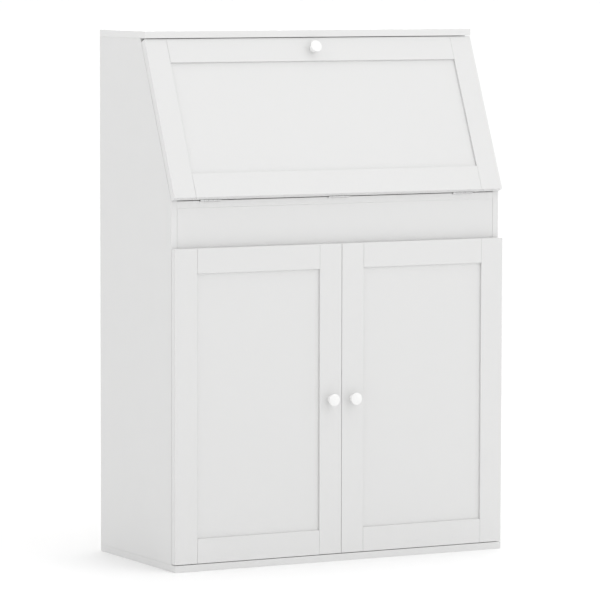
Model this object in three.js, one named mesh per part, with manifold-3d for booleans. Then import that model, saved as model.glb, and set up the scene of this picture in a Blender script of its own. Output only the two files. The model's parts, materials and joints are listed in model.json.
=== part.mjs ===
// Secretary desk: a two-door cabinet below, and a hutch above it whose sloping
// front is a framed flap that folds down into a writing surface.
// Millimetres. +Z is up, +X to the right and -Y the front. The origin is the
// centre of the base board's underside. "Left" and "right" are as seen from the front.

import * as THREE from 'three';
import { mergeVertices } from 'three/addons/utils/BufferGeometryUtils.js';
import Module from 'manifold-3d';

const wasm = await Module();
wasm.setup();

// ---------------------------------------------------------------- driving dimensions

const WIDTH = 800;
const DEPTH = 370;
const HEIGHT = 1142;
const WRITING_HEIGHT = 787;        // top of the writing board
const BOARD = 15;                  // base, top, writing board, apron, cabinet shelf
const SIDE_BOARD = 13.5;
const OVERHANG = 0.5;              // of the base, the top and the doors, past the side panels
const THIN_BOARD = 12;             // hutch shelf and dividers
const BACK_BOARD = 3;              // nailed-on back panels
const FIT_GAP = 0.3;               // between pieces that are glued, cut or turned together

const LEAF = 16.5;                 // thickness of the doors and the flap
const DOOR_GAP = 2;                // from a door's back to the side panels
const DOOR_LIFT = 1.5;             // from the base board to the doors
const DOOR_TOP = 687;
const MEETING_GAP = 1;             // between the two doors
const DOOR_FRAME = 53;             // face width of a door's stiles and rails

const FLAP_TILT = THREE.MathUtils.degToRad(23.6);   // from vertical, leaning back
const FLAP_START = 1.5;            // from the pivot to the flap's lower edge
const FLAP_END = 362.2;            // from the pivot to the flap's upper edge
const FLAP_GAP = 2;                // from the flap's back to the side panels
const FLAP_STILE = 51.5;
const FLAP_RAIL = 54;
const TOP_BOARD_FRONT = -41.5;     // the top board's front edge, just ahead of the flap

const PANEL = 5;                   // thickness of the panels' tongues
const PANEL_RECESS = 4.5;          // from a leaf's face to its panel
const GROOVE = 8;                  // depth of the grooves that hold the panels
const TONGUE = 7;                  // what enters a groove

const APRON_BOTTOM = 673;
const SHELF_UNDERSIDE = 372;
const SHELF_FRONT = -140;
const HUTCH_SHELF_UNDERSIDE = 957;
const HUTCH_SHELF_FRONT = -60;
const DIVIDER_FRONT = -50;

const FLAP_HINGE_PLACES = [-308, 0, 308];
const FLAP_HINGE_LENGTH = 50;
const DOOR_HINGE_INSET = 100;      // from a door's end to a hinge's centre
const CUP_FROM_EDGE = 22.5;        // from a door's edge to a hinge cup's centre

const STAY_REACH = 150;            // from the flap's pivot to the stay's, along the flap
const STAY_STANDOFF = 7;           // from the flap's back to the stay's pivot
const STAY_REST_ANGLE = THREE.MathUtils.degToRad(3.5);   // between stud and pivot, at rest

// ---------------------------------------------------------------- derived places

const HALF_WIDTH = WIDTH / 2;
const FRONT = -DEPTH / 2;
const BACK = DEPTH / 2;
const BOARD_BACK = BACK - BACK_BOARD;
const OUTER_HALF = HALF_WIDTH - OVERHANG;   // to the side panels' outer faces
const INNER_HALF = OUTER_HALF - SIDE_BOARD;
const DOOR_BACK = FRONT + LEAF;
const SIDE_FRONT = DOOR_BACK + DOOR_GAP;
const TOP_UNDERSIDE = HEIGHT - BOARD;
const WRITING_UNDERSIDE = WRITING_HEIGHT - BOARD;
const DOOR_BOTTOM = BOARD + DOOR_LIFT;
const DOOR_HEIGHT = DOOR_TOP - DOOR_BOTTOM;
const DOOR_WIDTH = HALF_WIDTH - MEETING_GAP / 2;
const PIVOT = { y: DOOR_BACK, z: WRITING_HEIGHT };
const FLAP_OPENING = Math.PI / 2 + FLAP_TILT;

const desk = new THREE.Group();

// ---------------------------------------------------------------- finishes

const FINISHES = {
  white: { color: 0xebebea, roughness: 0.45, metalness: 0 },
  hardboard: { color: 0xe4e3e0, roughness: 0.7, metalness: 0 },
  knob: { color: 0xf8f8f6, roughness: 0.15, metalness: 0 },
  steel: { color: 0xc8c9cb, roughness: 0.3, metalness: 1 },
};

function add(group, name, finish, geometry) {
  const mesh = new THREE.Mesh(geometry, new THREE.MeshStandardMaterial(FINISHES[finish]));
  mesh.name = name;
  group.add(mesh);
  return mesh;
}

// ---------------------------------------------------------------- solids

function toSolid(geometry) {
  const bare = geometry.index ? geometry.toNonIndexed() : geometry.clone();
  bare.deleteAttribute('normal');
  bare.deleteAttribute('uv');
  const merged = mergeVertices(bare);
  return new wasm.Manifold(new wasm.Mesh({
    numProp: 3,
    vertProperties: new Float32Array(merged.attributes.position.array),
    triVerts: new Uint32Array(merged.index.array),
  }));
}

function toGeometry(solid) {
  const mesh = solid.getMesh();
  const geometry = new THREE.BufferGeometry();
  geometry.setAttribute('position', new THREE.BufferAttribute(mesh.vertProperties, 3));
  geometry.setIndex(new THREE.BufferAttribute(mesh.triVerts, 1));
  geometry.computeVertexNormals();
  return geometry;
}

function join(...pieces) {
  return toGeometry(pieces.map(toSolid).reduce((whole, piece) => whole.add(piece)));
}

function cut(body, ...tools) {
  return toGeometry(tools.map(toSolid).reduce((whole, tool) => whole.subtract(tool), toSolid(body)));
}

// A box between two x, two y and two z values, each pair in either order.
function block(x, y, z) {
  const size = [x, y, z].map(([a, b]) => Math.abs(b - a));
  const middle = [x, y, z].map(([a, b]) => (a + b) / 2);
  return new THREE.BoxGeometry(...size).translate(...middle);
}

// A round bar along x, y or z, from one end to the other, centred on the other two values.
function rodAlongX(radius, [from, to], y, z, sides = 24) {
  const geometry = new THREE.CylinderGeometry(radius, radius, Math.abs(to - from), sides);
  return geometry.rotateZ(Math.PI / 2).translate((from + to) / 2, y, z);
}

function rodAlongY(radius, [from, to], x, z, sides = 40) {
  const geometry = new THREE.CylinderGeometry(radius, radius, Math.abs(to - from), sides);
  return geometry.translate(x, (from + to) / 2, z);
}

function rodAlongZ(radius, [from, to], x, y, sides = 16) {
  const geometry = new THREE.CylinderGeometry(radius, radius, Math.abs(to - from), sides);
  return geometry.rotateX(Math.PI / 2).translate(x, y, (from + to) / 2);
}

// A plate whose outline is drawn in y and z, between two x values.
function plate(shape, [from, to]) {
  const geometry = new THREE.ExtrudeGeometry(shape, {
    depth: Math.abs(to - from), bevelEnabled: false, curveSegments: 12,
  });
  const turnToYZ = new THREE.Matrix4().set(0, 0, 1, 0, 1, 0, 0, 0, 0, 1, 0, 0, 0, 0, 0, 1);
  return geometry.applyMatrix4(turnToYZ).translate(Math.min(from, to), 0, 0);
}

// A bar outline with round ends, from u = start to u = end, centred on v = 0.
function roundEnded(path, start, end, radius) {
  path.absarc(end, 0, radius, -Math.PI / 2, Math.PI / 2, false);
  path.absarc(start, 0, radius, Math.PI / 2, 3 * Math.PI / 2, false);
  path.closePath();
  return path;
}

// ---------------------------------------------------------------- carcase

const SIDES = { left: -1, right: 1 };
const SHELF_PIN_ROWS = [-110, 140];       // y of the two rows of pin holes
const SHELF_PIN_PITCH = 32;
const PIN_RADIUS = 2.5;
const PIN_HOLE_DEPTH = 9;

// Where the side panels' sloping edge is at a given height.
function slopeAt(z) {
  const atPivot = PIVOT.y + FLAP_GAP / Math.cos(FLAP_TILT);
  return atPivot + (z - PIVOT.z) * Math.tan(FLAP_TILT);
}

function sidePanelOutline() {
  const slopeStart = PIVOT.z - (slopeAt(PIVOT.z) - SIDE_FRONT) / Math.tan(FLAP_TILT);
  return new THREE.Shape([
    new THREE.Vector2(SIDE_FRONT, BOARD),
    new THREE.Vector2(BOARD_BACK, BOARD),
    new THREE.Vector2(BOARD_BACK, TOP_UNDERSIDE),
    new THREE.Vector2(slopeAt(TOP_UNDERSIDE), TOP_UNDERSIDE),
    new THREE.Vector2(SIDE_FRONT, slopeStart),
  ]);
}

// Three heights of pin holes in each of two rows, for the shelf to be moved up or down.
function pinHoles(side) {
  const span = [side * (INNER_HALF - 1), side * (INNER_HALF + PIN_HOLE_DEPTH)];
  const holes = [];
  for (const y of SHELF_PIN_ROWS) {
    for (const step of [-1, 0, 1]) {
      const z = SHELF_UNDERSIDE - PIN_RADIUS + step * SHELF_PIN_PITCH;
      holes.push(rodAlongX(PIN_RADIUS + FIT_GAP, span, y, z, 12));
    }
  }
  return holes;
}

// A shelf pin: a shaft in the side panel and a collar that stops it at the panel's face.
function shelfPin(side, y) {
  const z = SHELF_UNDERSIDE - PIN_RADIUS;
  const shelfRest = 8;
  const collarThickness = 1.5;
  const inHole = side * (INNER_HALF + PIN_HOLE_DEPTH - 1);
  const tip = side * (INNER_HALF - shelfRest);
  const collar = [side * INNER_HALF, side * (INNER_HALF - collarThickness)];
  const collarRadius = 4;
  const collarDrop = collarRadius - PIN_RADIUS;
  return join(
    rodAlongX(PIN_RADIUS, [inHole, tip], y, z, 12),
    rodAlongX(collarRadius, collar, y, z - collarDrop, 16),
  );
}

function addCarcase() {
  const fullWidth = [-HALF_WIDTH, HALF_WIDTH];
  const between = [-INNER_HALF, INNER_HALF];
  const apronHalf = INNER_HALF - FIT_GAP;
  const hutchShelfTop = HUTCH_SHELF_UNDERSIDE + THIN_BOARD;

  add(desk, 'base_board', 'white', block(fullWidth, [FRONT, BOARD_BACK], [0, BOARD]));
  add(desk, 'top_board', 'white',
    block(fullWidth, [TOP_BOARD_FRONT, BOARD_BACK], [TOP_UNDERSIDE, HEIGHT]));
  const writingBoard = block(between, [SIDE_FRONT, BOARD_BACK],
    [WRITING_UNDERSIDE, WRITING_HEIGHT]);
  add(desk, 'writing_board', 'white',
    cut(writingBoard, ...FLAP_HINGE_PLACES.flatMap(writingBoardMortises)));
  add(desk, 'apron_panel', 'white',
    block([-apronHalf, apronHalf], [SIDE_FRONT, SIDE_FRONT + BOARD],
      [APRON_BOTTOM, WRITING_UNDERSIDE]));

  for (const [name, side] of Object.entries(SIDES)) {
    const span = [side * INNER_HALF, side * OUTER_HALF];
    add(desk, `${name}_side_panel`, 'white', cut(plate(sidePanelOutline(), span), ...pinHoles(side)));
    add(desk, `${name}_front_shelf_pin`, 'steel', shelfPin(side, SHELF_PIN_ROWS[0]));
    add(desk, `${name}_back_shelf_pin`, 'steel', shelfPin(side, SHELF_PIN_ROWS[1]));
  }

  const shelfGap = 2;
  const shelfHalf = INNER_HALF - shelfGap;
  add(desk, 'cabinet_shelf', 'white',
    block([-shelfHalf, shelfHalf], [SHELF_FRONT, BOARD_BACK - shelfGap],
      [SHELF_UNDERSIDE, SHELF_UNDERSIDE + BOARD]));
  add(desk, 'hutch_shelf', 'white',
    block(between, [HUTCH_SHELF_FRONT, BOARD_BACK], [HUTCH_SHELF_UNDERSIDE, hutchShelfTop]));
  for (const [name, side] of Object.entries(SIDES)) {
    const middle = side * (INNER_HALF + THIN_BOARD / 2) / 3;
    add(desk, `${name}_hutch_divider`, 'white',
      block([middle - THIN_BOARD / 2, middle + THIN_BOARD / 2], [DIVIDER_FRONT, BOARD_BACK],
        [WRITING_HEIGHT, HUTCH_SHELF_UNDERSIDE]));
  }
}

// Two back panels, a little smaller than the carcase, that meet behind the writing board.
function addBackPanels() {
  const inset = 1;
  const across = [-HALF_WIDTH + inset, HALF_WIDTH - inset];
  const seam = WRITING_HEIGHT - BOARD / 2;
  add(desk, 'lower_back_panel', 'hardboard',
    block(across, [BOARD_BACK, BACK], [inset, seam - FIT_GAP]));
  add(desk, 'upper_back_panel', 'hardboard',
    block(across, [BOARD_BACK, BACK], [seam + FIT_GAP, HEIGHT - inset]));
}

// ---------------------------------------------------------------- framed leaves

// Two stiles that run the full height, two rails tongued into them, and a panel held in
// grooves all round. x and z start at the leaf's corner, and y runs from its face to its back.
// The panel of a flush-backed leaf is thickened up to the frame's back.
function framedLeaf({ width, height, stile, rail, flushBack }) {
  const depth = [0, LEAF];
  const tongue = [PANEL_RECESS, PANEL_RECESS + PANEL];
  const groove = [tongue[0] - FIT_GAP, tongue[1] + FIT_GAP];
  const railSpan = [stile + FIT_GAP, width - stile - FIT_GAP];
  const tongueSpan = [stile - TONGUE, width - stile + TONGUE];
  const past = 1;

  const makeStile = (outer, inner, grooveEnd) => cut(
    block([outer, inner], depth, [0, height]),
    block([grooveEnd, inner + Math.sign(inner - outer) * past], groove, [-past, height + past]),
  );
  const makeRail = (outer, inner, grooveEnd) => cut(
    join(block(railSpan, depth, [outer, inner]), block(tongueSpan, tongue, [outer, inner])),
    block([-past, width + past], groove, [grooveEnd, inner + Math.sign(inner - outer) * past]),
  );
  const tonguePlate = block(tongueSpan, tongue, [rail - TONGUE, height - rail + TONGUE]);
  const core = block([stile + FIT_GAP, width - stile - FIT_GAP], [PANEL_RECESS, LEAF],
    [rail + FIT_GAP, height - rail - FIT_GAP]);

  return {
    nearStile: makeStile(0, stile, stile - GROOVE),
    farStile: makeStile(width, width - stile, width - stile + GROOVE),
    bottomRail: makeRail(0, rail, rail - GROOVE),
    topRail: makeRail(height, height - rail, height - rail + GROOVE),
    panel: flushBack ? join(tonguePlate, core) : tonguePlate,
  };
}

// A turned knob on the plane y = 0: a foot, a waist and a flat, slightly domed head.
function knob() {
  const headRadius = 13.3;
  const headUnderside = 16;
  const rimRadius = 1.6;
  const domeHeight = 2.4;
  const foot = [[0, 0], [8, 0], [8, 1.5], [6.2, 3.5], [5.6, 7], [6.4, 11], [8.6, 14.4]];
  const profile = foot.map(([r, h]) => new THREE.Vector2(r, h));
  const rimSteps = 5;
  for (let i = 0; i <= rimSteps; i += 1) {
    const angle = (i / rimSteps - 0.5) * Math.PI;
    profile.push(new THREE.Vector2(
      headRadius - rimRadius + rimRadius * Math.cos(angle),
      headUnderside + rimRadius + rimRadius * Math.sin(angle),
    ));
  }
  const domeStart = headUnderside + 2 * rimRadius;
  const domeSteps = 5;
  for (let i = 1; i <= domeSteps; i += 1) {
    const out = 1 - i / domeSteps;
    profile.push(new THREE.Vector2(
      (headRadius - rimRadius) * out, domeStart + domeHeight * (1 - out * out),
    ));
  }
  return new THREE.LatheGeometry(profile, 32).rotateX(Math.PI);
}

// ---------------------------------------------------------------- doors

const CUP_RADIUS = 17.5;
const CUP_DEPTH = 11;
const HINGE_HEIGHTS = { lower: DOOR_HINGE_INSET, upper: DOOR_HEIGHT - DOOR_HINGE_INSET };

// A door turns about an upright axis near its edge. A slotted link is pivoted in the hinge's cup
// and slides over a pin in its arm. Pivot and pin are equally far from the axis, so the link
// turns by half the door's angle.
const DOOR_AXIS = { inset: 4, y: DOOR_BACK - 8.5 };     // inset from the door's edge
const DOOR_OPENING = THREE.MathUtils.degToRad(95);
const LINK_RADIUS = 24;
const LINK_PIVOT_ANGLE = THREE.MathUtils.degToRad(6);
const LINK_PIN_ANGLE = THREE.MathUtils.degToRad(18);
const LINK_PIN_RADIUS = 1.3;
const LINK_CLOSED = 2 * LINK_RADIUS * Math.sin((LINK_PIN_ANGLE - LINK_PIVOT_ANGLE) / 2);
const LINK_OPEN = 2 * LINK_RADIUS * Math.sin((LINK_PIN_ANGLE - LINK_PIVOT_ANGLE + DOOR_OPENING) / 2);

// A point at the link's distance from a door's axis, at an angle from the line across the door.
function onLinkCircle(side, angle) {
  return {
    x: side * (HALF_WIDTH - DOOR_AXIS.inset - LINK_RADIUS * Math.cos(angle)),
    y: DOOR_AXIS.y + LINK_RADIUS * Math.sin(angle),
  };
}

// A cup let into the door's back, with a flange that is screwed on to it and a pin across it.
// x and z are the cup's place on the door, and the pin's x is in the door's own frame too.
function hingeCup(x, z, pinX) {
  const flangeHalfWidth = 11;
  const flangeHalfHeight = 31;
  const flange = 1;
  const wall = 1.2;
  const pinHalfLength = CUP_RADIUS - 2;
  const pinY = onLinkCircle(1, LINK_PIVOT_ANGLE).y - FRONT;
  const cup = cut(
    join(
      rodAlongY(CUP_RADIUS, [LEAF - CUP_DEPTH, LEAF], x, z),
      block([x - flangeHalfWidth, x + flangeHalfWidth], [LEAF, LEAF + flange],
        [z - flangeHalfHeight, z + flangeHalfHeight]),
    ),
    rodAlongY(CUP_RADIUS - wall, [LEAF - CUP_DEPTH + wall, LEAF + 2 * flange], x, z),
  );
  return join(cup, rodAlongZ(LINK_PIN_RADIUS, [z - pinHalfLength, z + pinHalfLength], pinX, pinY));
}

// The fixed half: a mounting plate on the side panel, and two cheeks that carry the link's pin.
function hingeArm(side, z) {
  const plateThickness = 2.5;
  const plateSpan = [SIDE_FRONT + 24, -108];
  const plateHalf = 26;
  const cheekReach = 17;
  const outerHalf = 7;
  const innerHalf = 5.4;
  const pinHalf = 6.5;
  const noseEnd = DOOR_BACK - 4;
  const armBack = -118;
  const across = (from, to) => [side * (INNER_HALF - from), side * (INNER_HALF - to)];
  const pin = onLinkCircle(side, LINK_PIN_ANGLE);
  const channel = cut(
    block(across(0, cheekReach), [noseEnd, armBack], [z - outerHalf, z + outerHalf]),
    block(across(plateThickness, cheekReach + 1), [noseEnd - 1, armBack - 4],
      [z - innerHalf, z + innerHalf]),
  );
  return join(
    channel,
    block(across(0, plateThickness), plateSpan, [z - plateHalf, z + plateHalf]),
    rodAlongZ(LINK_PIN_RADIUS, [z - pinHalf, z + pinHalf], pin.x, pin.y),
  );
}

function hingeLink(side, z) {
  const halfWidth = 2.6;
  const halfHeight = 4.5;
  const slotHalf = LINK_PIN_RADIUS + FIT_GAP;
  const outline = roundEnded(new THREE.Shape(), 0, LINK_OPEN + FIT_GAP, halfWidth);
  const pivotHole = new THREE.Path().absarc(0, 0, slotHalf, 0, 2 * Math.PI, true);
  const slot = roundEnded(new THREE.Path(), LINK_CLOSED, LINK_OPEN + FIT_GAP, slotHalf);
  outline.holes.push(pivotHole, slot);
  const pivot = onLinkCircle(side, LINK_PIVOT_ANGLE);
  const pin = onLinkCircle(side, LINK_PIN_ANGLE);
  const geometry = new THREE.ExtrudeGeometry(outline, {
    depth: 2 * halfHeight, bevelEnabled: false, curveSegments: 6,
  });
  return geometry
    .rotateZ(Math.atan2(pin.y - pivot.y, pin.x - pivot.x))
    .translate(pivot.x, pivot.y, z - halfHeight);
}

function addDoor(name, side) {
  const leaf = framedLeaf({
    width: DOOR_WIDTH, height: DOOR_HEIGHT, stile: DOOR_FRAME, rail: DOOR_FRAME, flushBack: false,
  });
  const [hingeStile, meetingStile] = side < 0
    ? [leaf.nearStile, leaf.farStile]
    : [leaf.farStile, leaf.nearStile];
  const cupX = side < 0 ? CUP_FROM_EDGE : DOOR_WIDTH - CUP_FROM_EDGE;
  const bores = Object.values(HINGE_HEIGHTS).map((z) => rodAlongY(
    CUP_RADIUS + FIT_GAP, [LEAF - CUP_DEPTH - FIT_GAP, LEAF + 1], cupX, z,
  ));

  const door = new THREE.Group();
  door.position.set(side < 0 ? -HALF_WIDTH : MEETING_GAP / 2, FRONT, DOOR_BOTTOM);
  add(door, `${name}_door_hinge_stile`, 'white', cut(hingeStile, ...bores));
  add(door, `${name}_door_meeting_stile`, 'white', meetingStile);
  add(door, `${name}_door_top_rail`, 'white', leaf.topRail);
  add(door, `${name}_door_bottom_rail`, 'white', leaf.bottomRail);
  add(door, `${name}_door_panel`, 'white', leaf.panel);
  const linkPivotX = onLinkCircle(side, LINK_PIVOT_ANGLE).x - door.position.x;
  for (const [height, z] of Object.entries(HINGE_HEIGHTS)) {
    add(door, `${name}_${height}_hinge_cup`, 'steel', hingeCup(cupX, z, linkPivotX));
    add(desk, `${name}_${height}_hinge_arm`, 'steel', hingeArm(side, DOOR_BOTTOM + z));
    add(desk, `${name}_${height}_hinge_link`, 'steel', hingeLink(side, DOOR_BOTTOM + z));
  }

  const knobX = side < 0 ? DOOR_WIDTH - DOOR_FRAME / 2 : DOOR_FRAME / 2;
  add(door, `${name}_door_knob`, 'knob', knob()).position.set(knobX, 0, DOOR_HEIGHT / 2);
  desk.add(door);
}

// ---------------------------------------------------------------- flap and its hinges

const KNUCKLE_RADIUS = 2.2;
const HINGE_PIN_RADIUS = 1.1;
const PIN_CLEARANCE = 0.1;
const HINGE_LEAF = 1.2;
const HINGE_LEAF_HEIGHT = 17;
const KNUCKLES = 5;
const KNUCKLE_GAP = 0.25;

// The x range of one of a hinge's knuckles.
function knuckleSpan(x, index) {
  const pitch = FLAP_HINGE_LENGTH / KNUCKLES;
  const start = x - FLAP_HINGE_LENGTH / 2 + index * pitch;
  return [start + KNUCKLE_GAP, start + pitch - KNUCKLE_GAP];
}

function hingeSpan(x, allowance = 0) {
  return [x - FLAP_HINGE_LENGTH / 2 - allowance, x + FLAP_HINGE_LENGTH / 2 + allowance];
}

// Where a leaf's plate starts, away from the pivot, so that it clears the other leaf's knuckles.
const LEAF_PLATE_START = KNUCKLE_RADIUS + FIT_GAP;

// The fixed leaf is let into the writing board's top, and carries the pin.
function fixedHingeLeaf(x) {
  const thickness = [PIVOT.z - HINGE_LEAF, PIVOT.z];
  const plateFront = PIVOT.y + LEAF_PLATE_START;
  const parts = [0, 2, 4].flatMap((index) => [
    rodAlongX(KNUCKLE_RADIUS, knuckleSpan(x, index), PIVOT.y, PIVOT.z),
    block(knuckleSpan(x, index), [PIVOT.y, plateFront + 1], thickness),
  ]);
  const pinSpan = [knuckleSpan(x, 0)[0], knuckleSpan(x, KNUCKLES - 1)[1]];
  const pin = rodAlongX(HINGE_PIN_RADIUS, pinSpan, PIVOT.y, PIVOT.z);
  const leaf = block(hingeSpan(x), [plateFront, plateFront + HINGE_LEAF_HEIGHT], thickness);
  return join(leaf, ...parts, pin);
}

// The moving leaf is let into the flap's back. Its own frame is the flap's: the pivot is
// at y = z = 0, and z runs up the slope.
function movingHingeLeaf(x) {
  const leaf = block(hingeSpan(x), [-HINGE_LEAF, 0],
    [LEAF_PLATE_START, LEAF_PLATE_START + HINGE_LEAF_HEIGHT]);
  const parts = [1, 3].flatMap((index) => [
    rodAlongX(KNUCKLE_RADIUS, knuckleSpan(x, index), 0, 0),
    block(knuckleSpan(x, index), [-HINGE_LEAF, 0], [0, LEAF_PLATE_START + 1]),
  ]);
  const bore = rodAlongX(HINGE_PIN_RADIUS + PIN_CLEARANCE, hingeSpan(x, 1), 0, 0);
  return cut(join(leaf, ...parts), bore);
}

// What is cut from the writing board for a hinge: a seat for its leaf and one for its barrel.
function writingBoardMortises(x) {
  const leafBack = PIVOT.y + LEAF_PLATE_START + HINGE_LEAF_HEIGHT;
  return [
    block(hingeSpan(x, FIT_GAP), [SIDE_FRONT - 1, leafBack + FIT_GAP],
      [PIVOT.z - HINGE_LEAF - FIT_GAP, PIVOT.z + 1]),
    rodAlongX(KNUCKLE_RADIUS + FIT_GAP, hingeSpan(x, FIT_GAP), PIVOT.y, PIVOT.z),
  ];
}

// The same for the flap's bottom rail, in the frame of the flap's boards.
function flapMortises(x) {
  const leafTop = LEAF_PLATE_START + HINGE_LEAF_HEIGHT - FLAP_START;
  const span = hingeSpan(x + HALF_WIDTH, FIT_GAP);
  return [
    block(span, [LEAF - HINGE_LEAF - FIT_GAP, LEAF + 1], [-1, leafTop + FIT_GAP]),
    rodAlongX(KNUCKLE_RADIUS + FIT_GAP, span, LEAF, -FLAP_START),
  ];
}

function addFlap() {
  const leaf = framedLeaf({
    width: WIDTH, height: FLAP_END - FLAP_START, stile: FLAP_STILE, rail: FLAP_RAIL, flushBack: true,
  });
  const flap = new THREE.Group();
  flap.position.set(0, PIVOT.y, PIVOT.z);
  flap.rotation.x = -FLAP_TILT;

  const boards = new THREE.Group();
  boards.position.set(-HALF_WIDTH, -LEAF, FLAP_START);
  add(boards, 'flap_left_stile', 'white', leaf.nearStile);
  add(boards, 'flap_right_stile', 'white', leaf.farStile);
  add(boards, 'flap_top_rail', 'white', leaf.topRail);
  add(boards, 'flap_bottom_rail', 'white',
    cut(leaf.bottomRail, ...FLAP_HINGE_PLACES.flatMap(flapMortises)));
  add(boards, 'flap_panel', 'white', leaf.panel);
  flap.add(boards);

  add(flap, 'flap_knob', 'knob', knob())
    .position.set(0, -LEAF - FIT_GAP, FLAP_END - FLAP_RAIL / 2);

  const hingeNames = ['left', 'middle', 'right'];
  FLAP_HINGE_PLACES.forEach((x, index) => {
    add(flap, `flap_${hingeNames[index]}_hinge_moving_leaf`, 'steel', movingHingeLeaf(x));
    add(desk, `flap_${hingeNames[index]}_hinge_fixed_leaf`, 'steel', fixedHingeLeaf(x));
  });
  desk.add(flap);
  return flap;
}

// ---------------------------------------------------------------- flap stays

// Each stay is a slotted arm, pivoted on the flap, that slides over a stud on the side panel.
// Stud and pivot are equally far from the flap's pivot, so the arm turns by exactly half the
// flap's angle, and the slot's end stops the flap when it is level.
const STAY_RADIUS = Math.hypot(STAY_REACH, STAY_STANDOFF);
const STAY_PIN_RADIUS = 2.5;
const STAY_PIVOT_ANGLE = FLAP_TILT + Math.atan2(STAY_STANDOFF, STAY_REACH);
const STAY_STUD_ANGLE = STAY_PIVOT_ANGLE + STAY_REST_ANGLE;
const STAY_CLOSED = 2 * STAY_RADIUS * Math.sin(STAY_REST_ANGLE / 2);
const STAY_OPEN = 2 * STAY_RADIUS * Math.sin((STAY_REST_ANGLE + FLAP_OPENING) / 2);
// How far out the bracket's ear, the arm and the stud's flange lie, from the desk's middle.
const EAR_SPAN = [INNER_HALF - 11, INNER_HALF - 9];
const ARM_SPAN = [INNER_HALF - 7, INNER_HALF - 5];
const FLANGE_SPAN = [INNER_HALF - 2, INNER_HALF];

const mirrored = (side, span) => span.map((x) => side * x);

// A point at a given angle back from vertical and the stay's distance from the flap's pivot.
function onStayCircle(angle) {
  return {
    y: PIVOT.y + STAY_RADIUS * Math.sin(angle),
    z: PIVOT.z + STAY_RADIUS * Math.cos(angle),
  };
}

function stayArm(side) {
  const halfWidth = 5.5;
  const slotHalf = STAY_PIN_RADIUS + FIT_GAP;
  const outline = roundEnded(new THREE.Shape(), 0, STAY_OPEN + FIT_GAP, halfWidth);
  const pivotHole = new THREE.Path().absarc(0, 0, slotHalf, 0, 2 * Math.PI, true);
  const slot = roundEnded(new THREE.Path(), STAY_CLOSED, STAY_OPEN + FIT_GAP, slotHalf);
  outline.holes.push(pivotHole, slot);
  return plate(outline, mirrored(side, ARM_SPAN));
}

function stayStud(side) {
  const flangeRadius = 9;
  const headRadius = 4.5;
  const headSpan = [ARM_SPAN[0] - 1.4, ARM_SPAN[0] - 0.4];
  const { y, z } = onStayCircle(STAY_STUD_ANGLE);
  return join(
    rodAlongX(flangeRadius, mirrored(side, FLANGE_SPAN), y, z),
    rodAlongX(STAY_PIN_RADIUS, mirrored(side, [headSpan[0], FLANGE_SPAN[1] - 1]), y, z),
    rodAlongX(headRadius, mirrored(side, headSpan), y, z),
  );
}

// In the flap's frame: a foot on the flap's back, an ear standing on it and the pivot's pin.
function stayBracket(side) {
  const footThickness = 2;
  const footWidth = 18;
  const footHalf = 14;
  const earHalf = 6;
  const earTop = STAY_STANDOFF + 5;
  const headRadius = 4;
  const headSpan = [ARM_SPAN[1] + 0.5, ARM_SPAN[1] + 1.5];
  return join(
    block(mirrored(side, [EAR_SPAN[0] - footWidth, EAR_SPAN[1]]),
      [FIT_GAP, FIT_GAP + footThickness], [STAY_REACH - footHalf, STAY_REACH + footHalf]),
    block(mirrored(side, EAR_SPAN), [FIT_GAP, earTop],
      [STAY_REACH - earHalf, STAY_REACH + earHalf]),
    rodAlongX(STAY_PIN_RADIUS, mirrored(side, [EAR_SPAN[0], headSpan[1]]),
      STAY_STANDOFF, STAY_REACH),
    rodAlongX(headRadius, mirrored(side, headSpan), STAY_STANDOFF, STAY_REACH),
  );
}

function addStays(flap) {
  const pivot = onStayCircle(STAY_PIVOT_ANGLE);
  const stud = onStayCircle(STAY_STUD_ANGLE);
  for (const [name, side] of Object.entries(SIDES)) {
    const arm = add(desk, `${name}_stay_arm`, 'steel', stayArm(side));
    arm.position.set(0, pivot.y, pivot.z);
    arm.rotation.x = Math.atan2(stud.z - pivot.z, stud.y - pivot.y);
    add(desk, `${name}_stay_stud`, 'steel', stayStud(side));
    add(flap, `${name}_stay_bracket`, 'steel', stayBracket(side));
  }
}

// ---------------------------------------------------------------- assembly

addCarcase();
addBackPanels();
addDoor('left', SIDES.left);
addDoor('right', SIDES.right);
addStays(addFlap());

export default desk;
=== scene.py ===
"""The looks of a white secretary desk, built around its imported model.

Metres, +Z up, -Y the front. The desk stands on the floor at z = 0.
"""

import json
import math

import bmesh
import bpy
from mathutils import Matrix, Vector


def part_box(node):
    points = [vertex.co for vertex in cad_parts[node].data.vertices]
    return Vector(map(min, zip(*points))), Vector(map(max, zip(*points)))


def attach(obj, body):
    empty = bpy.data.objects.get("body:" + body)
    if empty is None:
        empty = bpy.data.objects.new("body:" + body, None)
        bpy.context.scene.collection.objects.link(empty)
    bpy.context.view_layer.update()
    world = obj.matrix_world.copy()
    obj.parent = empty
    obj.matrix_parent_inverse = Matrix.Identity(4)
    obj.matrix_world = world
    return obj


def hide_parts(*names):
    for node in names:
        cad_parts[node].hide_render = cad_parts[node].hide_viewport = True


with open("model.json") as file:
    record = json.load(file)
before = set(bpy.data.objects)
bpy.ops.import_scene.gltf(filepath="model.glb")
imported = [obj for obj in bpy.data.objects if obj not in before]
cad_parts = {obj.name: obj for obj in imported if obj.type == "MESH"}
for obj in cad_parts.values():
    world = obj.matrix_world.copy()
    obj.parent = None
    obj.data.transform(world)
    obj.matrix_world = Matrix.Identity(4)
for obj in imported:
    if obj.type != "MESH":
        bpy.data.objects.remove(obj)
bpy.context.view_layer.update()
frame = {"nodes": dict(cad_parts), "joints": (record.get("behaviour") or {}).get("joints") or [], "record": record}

MM = 0.001
SIDES = {"left": -1, "right": 1}
HINGES = ("lower", "upper")
FLAP_HINGES = ("left", "middle", "right")
JOINTS = {joint["name"]: joint for joint in frame["joints"]}
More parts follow.
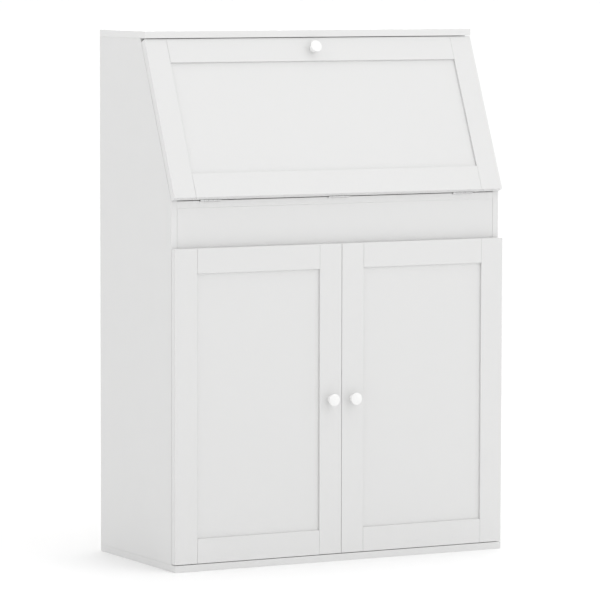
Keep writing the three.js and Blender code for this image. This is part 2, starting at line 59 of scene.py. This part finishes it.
FLAP_OPENING = JOINTS["flap_hinge"]["range_deg"][1]
FLAP_TILT = math.radians(FLAP_OPENING - 90)
FLAP_PIVOT = Vector(JOINTS["flap_hinge"]["pos_m"])

INTO_FLAP = Vector((0, math.cos(FLAP_TILT), -math.sin(FLAP_TILT)))   # from its face to its back
UP_FLAP = Vector((0, math.sin(FLAP_TILT), math.cos(FLAP_TILT)))      # from its pivot to its top
RIGHT, BACK, UP = Vector((1, 0, 0)), Vector((0, 1, 0)), Vector((0, 0, 1))
ACROSS_FLAP = (RIGHT, INTO_FLAP, UP_FLAP)


def on_flap(x, depth, along):
    """The place on the flap at x, so far behind its back and so far up from its pivot."""
    return FLAP_PIVOT + RIGHT * x + INTO_FLAP * depth + UP_FLAP * along


def flap_box(node):
    """A node's lowest and highest x, depth and reach in the flap's own directions."""
    offsets = [vertex.co - FLAP_PIVOT for vertex in frame["nodes"][node].data.vertices]
    reaches = [[offset.dot(axis) for offset in offsets] for axis in ACROSS_FLAP]
    return [min(values) for values in reaches], [max(values) for values in reaches]


# ---------------------------------------------------------------- materials


def shader_tree(name, **settings):
    """A new material, its node tree and its shader, whose own sockets get some constants."""
    material = bpy.data.materials.new(name)
    material.use_nodes = True
    tree = material.node_tree
    shader = tree.nodes["Principled BSDF"]
    for socket, value in settings.items():
        shader.inputs[socket.replace("_", " ")].default_value = value
    return material, tree, shader


def add_node(tree, kind, links=(), **values):
    """A node whose inputs come from sockets or constants, with some settings of its own."""
    made = tree.nodes.new(kind)
    for name, value in values.items():
        setattr(made, name, value)
    for socket, source in dict(links).items():
        if isinstance(source, bpy.types.NodeSocket):
            tree.links.new(source, made.inputs[socket])
        else:
            made.inputs[socket].default_value = source
    return made


def noise(tree, scale, detail=3.0, stretch=(1, 1, 1)):
    """Noise in the object's own coordinates, in cycles per metre."""
    coordinates = add_node(tree, "ShaderNodeTexCoord").outputs["Object"]
    stretched = add_node(tree, "ShaderNodeMapping", {"Vector": coordinates, "Scale": stretch})
    made = add_node(tree, "ShaderNodeTexNoise",
                    {"Vector": stretched.outputs["Vector"], "Scale": scale, "Detail": detail})
    return made.outputs["Fac"]


def between(tree, factor, low, high):
    """A number that runs from low to high as the factor runs from 0.3 to 0.7."""
    made = add_node(tree, "ShaderNodeMapRange",
                    {"Value": factor, "From Min": 0.3, "From Max": 0.7,
                     "To Min": low, "To Max": high})
    return made.outputs["Result"]


def blend_colours(tree, factor, first, second):
    made = add_node(tree, "ShaderNodeMix", {"Factor": factor}, data_type="RGBA")
    for socket, colour in zip((made.inputs[6], made.inputs[7]), (first, second)):
        if isinstance(colour, bpy.types.NodeSocket):
            tree.links.new(colour, socket)
        else:
            socket.default_value = (*colour, 1)
    return made.outputs[2]


def multiply(tree, first, second):
    made = add_node(tree, "ShaderNodeMath", {0: first, 1: second}, operation="MULTIPLY")
    return made.outputs[0]


def edge_mask(tree, radius, strength):
    """0 on flat faces and up to 1 where the surface turns within the given radius."""
    rounded = add_node(tree, "ShaderNodeBevel", {"Radius": radius}, samples=4)
    normal = add_node(tree, "ShaderNodeNewGeometry").outputs["Normal"]
    facing = add_node(tree, "ShaderNodeVectorMath",
                      {0: rounded.outputs["Normal"], 1: normal}, operation="DOT_PRODUCT")
    made = add_node(tree, "ShaderNodeMapRange",
                    {"Value": facing.outputs["Value"], "From Min": 1.0, "From Max": 0.75,
                     "To Min": 0.0, "To Max": strength})
    return made.outputs["Result"]


def bump(tree, shader, height, strength, distance):
    made = add_node(tree, "ShaderNodeBump",
                    {"Height": height, "Strength": strength, "Distance": distance})
    tree.links.new(made.outputs["Normal"], shader.inputs["Normal"])


def white_paint(name, brightness):
    """Satin white paint on smooth board, with a roller's fine texture and thinner on edges."""
    material, tree, shader = shader_tree(name, Specular_IOR_Level=0.42)
    patches = noise(tree, scale=5)
    darkest = Vector((0.703, 0.703, 0.700)) * brightness
    lightest = Vector((0.711, 0.711, 0.708)) * brightness
    body = blend_colours(tree, patches, darkest, lightest)
    edges = edge_mask(tree, radius=0.9 * MM, strength=0.7)
    handling = multiply(tree, edges, noise(tree, scale=60, detail=4.0))
    colour = blend_colours(tree, handling, body, (0.615, 0.61, 0.595))
    tree.links.new(colour, shader.inputs["Base Color"])
    sheen = noise(tree, scale=22, detail=4.0)
    tree.links.new(between(tree, sheen, 0.36, 0.46), shader.inputs["Roughness"])
    bump(tree, shader, noise(tree, scale=700, detail=2.0), strength=0.10, distance=0.1 * MM)
    return material


def gloss_lacquer():
    """Sprayed white gloss on turned wood."""
    material, tree, shader = shader_tree("gloss_lacquer", Specular_IOR_Level=0.5, Coat_Weight=0.6,
                                         Coat_Roughness=0.05)
    patches = noise(tree, scale=40, detail=2.0)
    colour = blend_colours(tree, patches, (0.845, 0.845, 0.84), (0.865, 0.865, 0.86))
    edges = edge_mask(tree, radius=0.6 * MM, strength=0.5)
    worn = multiply(tree, edges, noise(tree, scale=300))
    colour = blend_colours(tree, worn, colour, (0.76, 0.755, 0.74))
    tree.links.new(colour, shader.inputs["Base Color"])
    tree.links.new(between(tree, noise(tree, scale=120), 0.14, 0.24), shader.inputs["Roughness"])
    bump(tree, shader, noise(tree, scale=350, detail=2.0), strength=0.08, distance=0.1 * MM)
    return material


def hardboard():
    """White-faced hardboard: a matt paper face with fine fibres showing through."""
    material, tree, shader = shader_tree("white_hardboard", Specular_IOR_Level=0.3)
    fibres = noise(tree, scale=260, detail=5.0, stretch=(1, 1, 3))
    clouds = noise(tree, scale=5)
    body = blend_colours(tree, clouds, (0.655, 0.65, 0.635), (0.69, 0.685, 0.67))
    colour = blend_colours(tree, multiply(tree, fibres, 0.35), body, (0.585, 0.57, 0.54))
    tree.links.new(colour, shader.inputs["Base Color"])
    tree.links.new(between(tree, fibres, 0.62, 0.78), shader.inputs["Roughness"])
    bump(tree, shader, fibres, strength=0.18, distance=0.15 * MM)
    return material


def nickel():
    """Nickel-plated pressed steel with fine drawing lines and dulled edges."""
    material, tree, shader = shader_tree("nickel_steel", Metallic=1.0)
    lines = noise(tree, scale=900, stretch=(1, 0.12, 0.12))
    tarnish = noise(tree, scale=90)
    body = blend_colours(tree, tarnish, (0.60, 0.60, 0.605), (0.72, 0.72, 0.715))
    edges = edge_mask(tree, radius=0.4 * MM, strength=0.6)
    colour = blend_colours(tree, edges, body, (0.80, 0.80, 0.79))
    tree.links.new(colour, shader.inputs["Base Color"])
    tree.links.new(between(tree, lines, 0.22, 0.38), shader.inputs["Roughness"])
    bump(tree, shader, lines, strength=0.12, distance=0.05 * MM)
    return material


def moulded_plastic():
    """White moulded plastic with a fine spark-eroded texture."""
    material, tree, shader = shader_tree("white_plastic", Specular_IOR_Level=0.5)
    grain = noise(tree, scale=1400, detail=2.0)
    clouds = noise(tree, scale=30, detail=2.0)
    colour = blend_colours(tree, clouds, (0.74, 0.74, 0.735), (0.77, 0.77, 0.765))
    edges = edge_mask(tree, radius=0.5 * MM, strength=0.5)
    worn = multiply(tree, edges, noise(tree, scale=200, detail=2.0))
    colour = blend_colours(tree, worn, colour, (0.66, 0.655, 0.64))
    tree.links.new(colour, shader.inputs["Base Color"])
    tree.links.new(between(tree, grain, 0.38, 0.5), shader.inputs["Roughness"])
    bump(tree, shader, grain, strength=0.15, distance=0.06 * MM)
    return material


PAINT = white_paint("white_paint", brightness=1.0)
# The top board's copy of the white paint is 4% lighter: painted light, standing in for the extra light that falls
# on the top.
TOP_PAINTED_LIGHT = white_paint("white_paint_with_painted_top_light", brightness=1.04)
LACQUER, BACKING, NICKEL, PLASTIC = gloss_lacquer(), hardboard(), nickel(), moulded_plastic()

# What each of the record's material slots is finished with, and how far its edges are rounded.
FINISHES = {
    "white_board": (PAINT, 0.5 * MM),
    "hardboard": (BACKING, 0.3 * MM),
    "knob_lacquer": (LACQUER, 0.3 * MM),
    "steel": (NICKEL, 0.2 * MM),
}

# ---------------------------------------------------------------- the CAD nodes


def soften(obj, width, segments=3):
    """Rounds an object's sharp edges with modifiers, which leave its own mesh as it is."""
    obj.data.polygons.foreach_set("use_smooth", [True] * len(obj.data.polygons))
    weld = obj.modifiers.new("weld", "WELD")
    weld.merge_threshold = 0.005 * MM
    flat = obj.modifiers.new("whole_faces", "DECIMATE")
    flat.decimate_type = "DISSOLVE"
    flat.angle_limit = math.radians(0.5)
    rounding = obj.modifiers.new("round_edges", "BEVEL")
    rounding.width = width
    rounding.segments = segments
    rounding.limit_method = "ANGLE"
    rounding.angle_limit = math.radians(35)
    shading = obj.modifiers.new("even_shading", "WEIGHTED_NORMAL")
    shading.weight = 100
    shading.keep_sharp = False


def dress_cad_nodes():
    for part in frame["record"]["subparts"]:
        material, rounding = FINISHES[part["material_slot"]]
        obj = frame["nodes"][part["node"]]
        obj.data.materials.clear()
        # The top board gets the lighter copy of the white paint, which is painted light for the light it catches
        # from above.
        obj.data.materials.append(TOP_PAINTED_LIGHT if part["node"] == "top_board" else material)
        soften(obj, rounding)


dress_cad_nodes()

# ---------------------------------------------------------------- making small pieces


def arc(centre, radius, start, end, steps):
    """Profile points on an arc, angles in degrees from outward to up."""
    points = []
    for i in range(steps + 1):
        angle = math.radians(start + (end - start) * i / steps)
        points.append((centre[0] + radius * math.cos(angle),
                       centre[1] + radius * math.sin(angle)))
    return points


def turned(profile, segments):
    """A body turned about z, from a (radius, height) profile that starts and ends on the axis."""
    body = bmesh.new()
    rings = []
    for radius, height in profile:
        steps = range(segments) if radius > 0 else range(1)
        turns = [2 * math.pi * step / segments for step in steps]
        rings.append([body.verts.new((radius * math.cos(turn), radius * math.sin(turn), height))
                      for turn in turns])
    for low, high in zip(rings, rings[1:]):
        for i in range(segments):
            following = (i + 1) % segments
            corners = [ring[step % len(ring)] for ring, step in
                       ((low, i), (low, following), (high, following), (high, i))]
            body.faces.new(list(dict.fromkeys(corners)))
    bmesh.ops.recalc_face_normals(body, faces=body.faces)
    return body


def bar(size, centre=(0, 0, 0)):
    body = bmesh.new()
    place = Matrix.Translation(centre) @ Matrix.Diagonal((*size, 1))
    bmesh.ops.create_cube(body, size=1, matrix=place)
    return body


def as_object(body, name):
    mesh = bpy.data.meshes.new(name)
    body.to_mesh(mesh)
    body.free()
    obj = bpy.data.objects.new(name, mesh)
    bpy.context.scene.collection.objects.link(obj)
    return obj


def carved(body, tools):
    """What is left of a body once some tools are cut from it."""
    solid = as_object(body, "solid")
    cutters = [as_object(tool, "cutter") for tool in tools]
    for cutter in cutters:
        cutting = solid.modifiers.new("cut", "BOOLEAN")
        cutting.operation = "DIFFERENCE"
        cutting.solver = "EXACT"
        cutting.object = cutter
    bpy.context.view_layer.update()
    result = bmesh.new()
    result.from_object(solid, bpy.context.evaluated_depsgraph_get())
    for obj in (solid, *cutters):
        bpy.data.objects.remove(obj)
    return result


def facing(point, outward, spin=0.0):
    """The place of a small piece whose own z points outward, turned about it by an angle."""
    turn = Vector(outward).to_track_quat("Z", "Y").to_matrix().to_4x4()
    return Matrix.Translation(point) @ turn @ Matrix.Rotation(spin, 4, "Z")


def repeated(unit, places):
    """Copies of one small body at several places, as one body."""
    mesh = bpy.data.meshes.new("unit")
    unit.to_mesh(mesh)
    whole = bmesh.new()
    for place in places:
        moved = mesh.copy()
        moved.transform(place)
        whole.from_mesh(moved)
        bpy.data.meshes.remove(moved)
    bpy.data.meshes.remove(mesh)
    return whole


def add_piece(name, body, material, rides_on):
    """A finished piece, smooth except where its faces meet at a clear angle."""
    sharp = math.radians(35)
    for edge in body.edges:
        edge.smooth = len(edge.link_faces) == 2 and edge.calc_face_angle() < sharp
    for face in body.faces:
        face.smooth = True
    obj = as_object(body, name)
    obj.data.materials.append(material)
    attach(obj, rides_on)
    return obj


# ---------------------------------------------------------------- knobs


def knob_body():
    """A turned foot, waist and flat, slightly domed head, 21.4 mm high in all."""
    head_radius, rim_radius, underside, dome = 13.3 * MM, 1.6 * MM, 16 * MM, 2.2 * MM
    inner = head_radius - rim_radius
    top_of_rim = underside + 2 * rim_radius
    foot = [(0, 0), (7.9 * MM, 0)] + arc((7.5 * MM, 0.9 * MM), 0.5 * MM, -20, 90, 4)
    hollow = arc((11.4 * MM, 7.2 * MM), 5.8 * MM, 236, 128, 18)
    under_head = arc((10.2 * MM, 16.6 * MM), 1.4 * MM, 215, 255, 3)
    rim = arc((inner, underside + rim_radius), rim_radius, -80, 86, 14)
    crown, steps = [], 14
    for step in range(1, steps + 1):
        out = 1 - step / steps
        crown.append((inner * out, top_of_rim + dome * (1 - out * out)))
    return turned(foot + hollow + under_head + rim + crown, 96)


def foot_of(node, outward):
    """Where a turned CAD node's axis meets the face that it stands on."""
    corners = [vertex.co for vertex in frame["nodes"][node].data.vertices]
    middle = sum(corners, Vector()) / len(corners)
    lowest = min(corner.dot(outward) for corner in corners)
    return middle + outward * (lowest - middle.dot(outward))


def add_knobs():
    for name, rides_on, outward in (("left_door_knob", "left_door", -BACK),
                                    ("right_door_knob", "right_door", -BACK),
                                    ("flap_knob", "flap", -INTO_FLAP)):
        body = repeated(knob_body(), [facing(foot_of(name, outward), outward)])
        knob = add_piece(f"{name}_turned", body, LACQUER, rides_on)
        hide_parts(name)


add_knobs()

# ---------------------------------------------------------------- screws, nails and caps


def cross_recess(radius):
    """The two crossed slots of a screw head's recess."""
    return [bar((1.25 * radius, 0.3 * radius, radius), (0, 0, 0.35 * radius)),
            bar((0.3 * radius, 1.25 * radius, radius), (0, 0, 0.35 * radius))]


def flush_screw(radius):
    """A countersunk screw whose head lies flush with its plate, with a cross recess."""
    rim = arc((0.94 * radius, 0), 0.06 * radius, -60, 80, 4)
    profile = [(0, -0.7 * radius), (0.4 * radius, -0.7 * radius)] + rim
    profile += [(0.6 * radius, 0.1 * radius), (0.3 * radius, 0.12 * radius), (0, 0.125 * radius)]
    return carved(turned(profile, 32), cross_recess(radius))


def pan_screw(radius):
    """A screw with a raised round head on a flat washer."""
    washer = [(0, -0.05 * radius), (1.5 * radius, -0.05 * radius), (1.5 * radius, 0.12 * radius),
              (1.46 * radius, 0.17 * radius), (radius, 0.17 * radius)]
    head = arc((0.7 * radius, 0.4 * radius), 0.3 * radius, -10, 75, 6)
    crown = [(0.4 * radius, 0.76 * radius), (0, 0.82 * radius)]
    tools = [bar((1.1 * radius, 0.26 * radius, 0.8 * radius), (0, 0, 0.85 * radius)),
             bar((0.26 * radius, 1.1 * radius, 0.8 * radius), (0, 0, 0.85 * radius))]
    return carved(turned(washer + head + crown, 40), tools)


def nail_head():
    """A small nail's slightly domed head."""
    radius, sunk, rounding = 2.2 * MM, 0.4 * MM, 0.3 * MM
    rim = arc((radius - rounding, 0.1 * MM), rounding, 0, 80, 4)
    crown = [(0.9 * MM, 0.5 * MM), (0, 0.55 * MM)]
    return turned([(0, -sunk), (radius, -sunk)] + rim + crown, 24)


def cam_cap():
    """A round cover cap over a cam fitting, with a notch to lift it by."""
    radius, height, sunk, rounding = 8.5 * MM, 0.9 * MM, 0.5 * MM, 0.5 * MM
    rim = arc((radius - rounding, height - rounding), rounding, 0, 85, 5)
    crown = [(3 * MM, height + 0.15 * MM), (0, height + 0.2 * MM)]
    notch = bar((2.4 * MM, 1 * MM, 2 * MM), (radius - 0.8 * MM, 0, height))
    return carved(turned([(0, -sunk), (radius, -sunk)] + rim + crown, 64), [notch])


def bumper(height):
    """A soft round stop that a door or the flap closes against."""
    radius, sunk, rounding = 4 * MM, 0.1 * MM, 0.6 * MM
    rim = arc((radius - rounding, height - rounding), rounding, 0, 88, 5)
    return turned([(0, -sunk), (radius, -sunk)] + rim + [(0, height + 0.05 * MM)], 40)


def spread(places):
    """Places given as (point, outward), each small piece turned a little differently."""
    return [facing(point, outward, 0.9 * index) for index, (point, outward) in enumerate(places)]


def add_flap_hinge_screws():
    from_end, pitch, head_radius = 5.5 * MM, 17 * MM, 3 * MM
    on_board, on_back = [], []
    for name in FLAP_HINGES:
        low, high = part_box(f"flap_{name}_hinge_fixed_leaf")
        middle = (low.x + high.x) / 2
        _, reach = flap_box(f"flap_{name}_hinge_moving_leaf")
        for x in (middle - pitch, middle, middle + pitch):
            on_board.append((Vector((x, high.y - from_end, FLAP_PIVOT.z)), UP))
            on_back.append((on_flap(x, 0, reach[2] - from_end), INTO_FLAP))
    for name, places, rides_on in (("flap_hinge_board_screws", on_board, "carcase"),
                                   ("flap_hinge_flap_screws", on_back, "flap")):
        screws = repeated(flush_screw(head_radius), spread(places))
        add_piece(name, screws, NICKEL, rides_on)


def add_door_hinge_screws():
    head_radius, cup_rise, cup_offset = 3.4 * MM, 24 * MM, 4 * MM
    plate_thickness, plate_rise, plate_inset, arm_inset = 2.5 * MM, 19 * MM, 17 * MM, 19 * MM
    on_plates = []
    for name, side in SIDES.items():
        on_cups = []
        inward = RIGHT * -side
        for height in HINGES:
            low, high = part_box(f"{name}_{height}_hinge_cup")
            middle = (low + high) / 2
            for rise in (-cup_rise, cup_rise):
                point = Vector((middle.x - side * cup_offset, high.y, middle.z + rise))
                on_cups.append((point, BACK))
            low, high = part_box(f"{name}_{height}_hinge_arm")
            middle = (low + high) / 2
            plate = (low.x if side < 0 else high.x) - side * plate_thickness
            for rise in (-plate_rise, plate_rise):
                point = Vector((plate, high.y - plate_inset, middle.z + rise))
                on_plates.append((point, inward))
            on_plates.append((Vector((plate, high.y - arm_inset, middle.z)), inward))
        screws = repeated(flush_screw(head_radius), spread(on_cups))
        add_piece(f"{name}_cup_screws", screws, NICKEL, f"{name}_door")
    screws = repeated(flush_screw(head_radius), spread(on_plates))
    add_piece("hinge_plate_screws", screws, NICKEL, "carcase")


def add_stay_screws():
    flange_thickness, flange_step, flange_head = 2 * MM, 6.4 * MM, 1.8 * MM
    foot_top, foot_inset, foot_step, foot_head = 2.3 * MM, 9 * MM, 9 * MM, 3.2 * MM
    on_studs, on_feet = [], []
    for name, side in SIDES.items():
        low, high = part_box(f"{name}_stay_stud")
        middle = (low + high) / 2
        flange = (low.x if side < 0 else high.x) - side * flange_thickness
        for step in (-flange_step, flange_step):
            on_studs.append((Vector((flange, middle.y, middle.z + step)), RIGHT * -side))
        low, high = flap_box(f"{name}_stay_bracket")
        foot = (high[0] if side < 0 else low[0]) + side * foot_inset
        along = (low[2] + high[2]) / 2
        for step in (-foot_step, foot_step):
            on_feet.append((on_flap(foot, foot_top, along + step), INTO_FLAP))
    screws = repeated(flush_screw(flange_head), spread(on_studs))
    add_piece("stay_stud_screws", screws, NICKEL, "carcase")
    screws = repeated(flush_screw(foot_head), spread(on_feet))
    add_piece("stay_bracket_screws", screws, NICKEL, "flap")


def add_knob_screws():
    """The screws that hold the knobs, from the backs of the doors and the flap."""
    head_radius, spin = 3.6 * MM, 0.4
    for name in SIDES:
        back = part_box(f"{name}_door_meeting_stile")[1].y
        foot = foot_of(f"{name}_door_knob", -BACK)
        screw = repeated(pan_screw(head_radius),
                         [facing(Vector((foot.x, back, foot.z)), BACK, spin)])
        add_piece(f"{name}_knob_screw", screw, NICKEL, f"{name}_door")
    foot = foot_of("flap_knob", -INTO_FLAP) - FLAP_PIVOT
    screw = repeated(pan_screw(head_radius),
                     [facing(on_flap(foot.x, 0, foot.dot(UP_FLAP)), INTO_FLAP, spin)])
    add_piece("flap_knob_screw", screw, NICKEL, "flap")


def evenly(start, end, pitch):
    """Values from start to end, about a pitch apart."""
    steps = max(1, round(abs(end - start) / pitch))
    return [start + (end - start) * step / steps for step in range(steps + 1)]


def add_back_nails():
    margin, pitch, pressed_in = 6.5 * MM, 95 * MM, 0.1 * MM
    places = []
    for name in ("lower", "upper"):
        low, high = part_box(f"{name}_back_panel")
        left, right = low.x + margin, high.x - margin
        bottom, top = low.z + margin, high.z - margin
        spots = [(x, z) for z in (bottom, top) for x in evenly(left, right, pitch)]
        spots += [(x, z) for x in (left, right) for z in evenly(bottom, top, pitch)[1:-1]]
        places += [(Vector((x, high.y - pressed_in, z)), BACK) for x, z in spots]
    nails = repeated(nail_head(), spread(places))
    add_piece("back_panel_nails", nails, NICKEL, "carcase")


def add_cam_caps():
    """Caps on the side panels at top and bottom, and under the writing board and hutch shelf."""
    from_end = 34 * MM
    base_rows, top_rows = (-120 * MM, 135 * MM), (20 * MM, 135 * MM)
    shelf_rows = {"writing_board": (-90 * MM, 120 * MM), "hutch_shelf": (-20 * MM, 130 * MM)}
    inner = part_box("writing_board")[1].x
    above_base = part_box("base_board")[1].z + from_end
    below_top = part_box("top_board")[0].z - from_end
    on_wall = [(y, above_base) for y in base_rows] + [(y, below_top) for y in top_rows]
    places = []
    for side in SIDES.values():
        places += [(Vector((side * inner, y, z)), RIGHT * -side) for y, z in on_wall]
        for node, rows in shelf_rows.items():
            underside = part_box(node)[0].z
            places += [(Vector((side * (inner - from_end), y, underside)), -UP) for y in rows]
    caps = repeated(cam_cap(), spread(places))
    add_piece("cam_caps", caps, PLASTIC, "carcase")


def add_bumpers():
    """Stops on the side panels' edges, two on each for its door and one for the flap."""
    clearance, past_panel = 0.3 * MM, 30 * MM
    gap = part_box("left_side_panel")[0].y - FLAP_PIVOT.y
    door_low, door_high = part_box("left_door_panel")
    places = []
    for name in SIDES:
        low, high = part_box(f"{name}_side_panel")
        middle = (low.x + high.x) / 2
        for z in (door_low.z, door_high.z):
            places.append((Vector((middle, low.y, z)), -BACK))
        along = flap_box("flap_panel")[1][2] + past_panel
        places.append((on_flap(middle, gap, along), -INTO_FLAP))
    stops = repeated(bumper(gap - clearance), spread(places))
    add_piece("bumpers", stops, PLASTIC, "carcase")


add_flap_hinge_screws()
add_door_hinge_screws()
add_stay_screws()
add_knob_screws()
add_back_nails()
add_cam_caps()
add_bumpers()

# ---------------------------------------------------------------- floor, light and camera


def plain_surface(name, colour):
    material, _, shader = shader_tree(name, Roughness=0.9, Specular_IOR_Level=0.1)
    shader.inputs["Base Color"].default_value = (*colour, 1)
    return material


def add_floor():
    half_size = 90
    mesh = bpy.data.meshes.new("floor")
    corners = [(x * half_size, y * half_size, 0) for x, y in ((-1, -1), (1, -1), (1, 1), (-1, 1))]
    mesh.from_pydata(corners, [], [(0, 1, 2, 3)])
    floor = bpy.data.objects.new("floor", mesh)
    mesh.materials.append(plain_surface("pale_floor", (0.97, 0.97, 0.97)))
    bpy.context.scene.collection.objects.link(floor)


def add_sky(near_horizon, above, limit):
    """A studio sky, brightest at the horizon and even from a limit in degrees upward."""
    world = bpy.data.worlds.new("studio")
    world.use_nodes = True
    tree = world.node_tree
    direction = add_node(tree, "ShaderNodeTexCoord").outputs["Generated"]
    height = add_node(tree, "ShaderNodeSeparateXYZ", {"Vector": direction}).outputs["Z"]
    level = add_node(tree, "ShaderNodeMapRange",
                     {"Value": height, "From Min": 0.0, "From Max": math.sin(math.radians(limit)),
                      "To Min": near_horizon, "To Max": above})
    background = tree.nodes["Background"]
    background.inputs["Color"].default_value = (1, 1, 1, 1)
    tree.links.new(level.outputs["Result"], background.inputs["Strength"])
    bpy.context.scene.world = world


def add_soft_sun(name, towards, strength, spread):
    """A distant light whose rays run towards a direction, spread over an angle in degrees."""
    light = bpy.data.lights.new(name, "SUN")
    light.energy = strength
    light.angle = math.radians(spread)
    obj = bpy.data.objects.new(name, light)
    obj.rotation_euler = Vector(towards).to_track_quat("-Z", "Y").to_euler()
    bpy.context.scene.collection.objects.link(obj)


def add_softbox(place, target, size, power):
    light = bpy.data.lights.new("softbox", "AREA")
    light.shape = "SQUARE"
    light.size = size
    light.energy = power
    obj = bpy.data.objects.new("softbox", light)
    obj.location = place
    obj.rotation_euler = (Vector(target) - Vector(place)).to_track_quat("-Z", "Y").to_euler()
    obj.visible_camera = False
    bpy.context.scene.collection.objects.link(obj)


def add_camera():
    """A long lens from the front left, a little above the desk's top."""
    position = Vector((-4.2416, -7.9811, 1.3177))
    turn, tilt, roll = math.radians(27.967), math.radians(-4.848), math.radians(0.1085)
    lens_in_frames = 6.9038333
    data = bpy.data.cameras.new("camera")
    data.sensor_width = 36
    data.lens = data.sensor_width * lens_in_frames
    data.clip_start, data.clip_end = 0.1, 400
    right = Vector((math.cos(turn), -math.sin(turn), 0))
    ahead = Vector((math.sin(turn), math.cos(turn), 0))
    forward = ahead * math.cos(tilt) + UP * math.sin(tilt)
    above = right.cross(forward)
    axes = Matrix((right, above, -forward)).transposed().to_4x4()
    camera = bpy.data.objects.new("camera", data)
    camera.matrix_world = Matrix.Translation(position) @ axes @ Matrix.Rotation(roll, 4, "Z")
    bpy.context.scene.collection.objects.link(camera)
    bpy.context.scene.camera = camera


add_floor()
add_sky(near_horizon=1.27, above=0.7, limit=22)
add_soft_sun("overhead", towards=(0, 0, -1), strength=0.5, spread=60)
add_soft_sun("from_the_right", towards=(-0.8, 0, -0.6), strength=0.59, spread=120)
add_soft_sun("backdrop", towards=(-0.46, -0.88, -0.15), strength=0.55, spread=40)
add_softbox(place=(0.8, -2.2, 2.4), target=(0, 0, 0.9), size=2.0, power=11.0)
add_softbox(place=(-1.9, -0.3, 2.6), target=(-0.4, 0, 1.1), size=1.0, power=5.0)
add_camera()
bpy.context.scene.view_settings.view_transform = "Standard"
